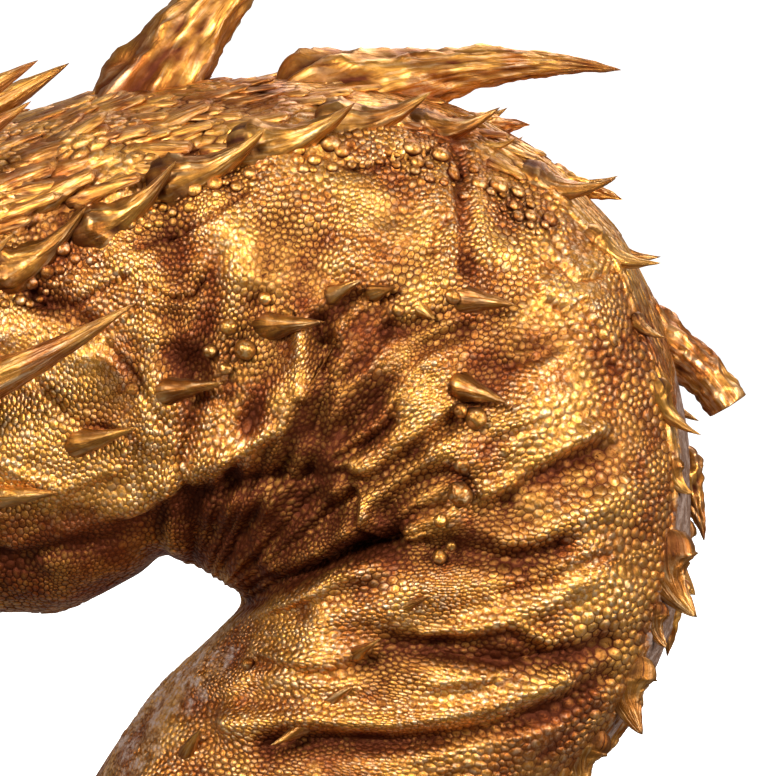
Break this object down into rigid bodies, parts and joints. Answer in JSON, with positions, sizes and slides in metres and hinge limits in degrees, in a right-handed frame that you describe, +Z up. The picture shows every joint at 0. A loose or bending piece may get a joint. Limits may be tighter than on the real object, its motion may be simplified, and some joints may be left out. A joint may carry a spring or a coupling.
{
  "type": "dragon bust",
  "caption": "Gilded dragon bust: an arched, scaly neck with ridges of thorns and tall spines, carrying a horned head, cut off flat at the foot of the neck.",
  "frame": {"origin": "on the flat underside of the neck, on the plane of symmetry, about midway between the front and the back of the cut", "axes": "+Z up, -X the way the head faces, +X to the back of the neck, +/-Y to the sides, which are alike"},
  "size_m": [0.3547, 0.136, 0.2816],
  "materials": {
    "gilding": "antique gold leaf paint over cast resin, dark brown wash in the grooves, worn to pale gold on the high points"
  },
  "bodies": {
    "root": {"dragon_bust": "gilding"}
  },
  "joints": []
}
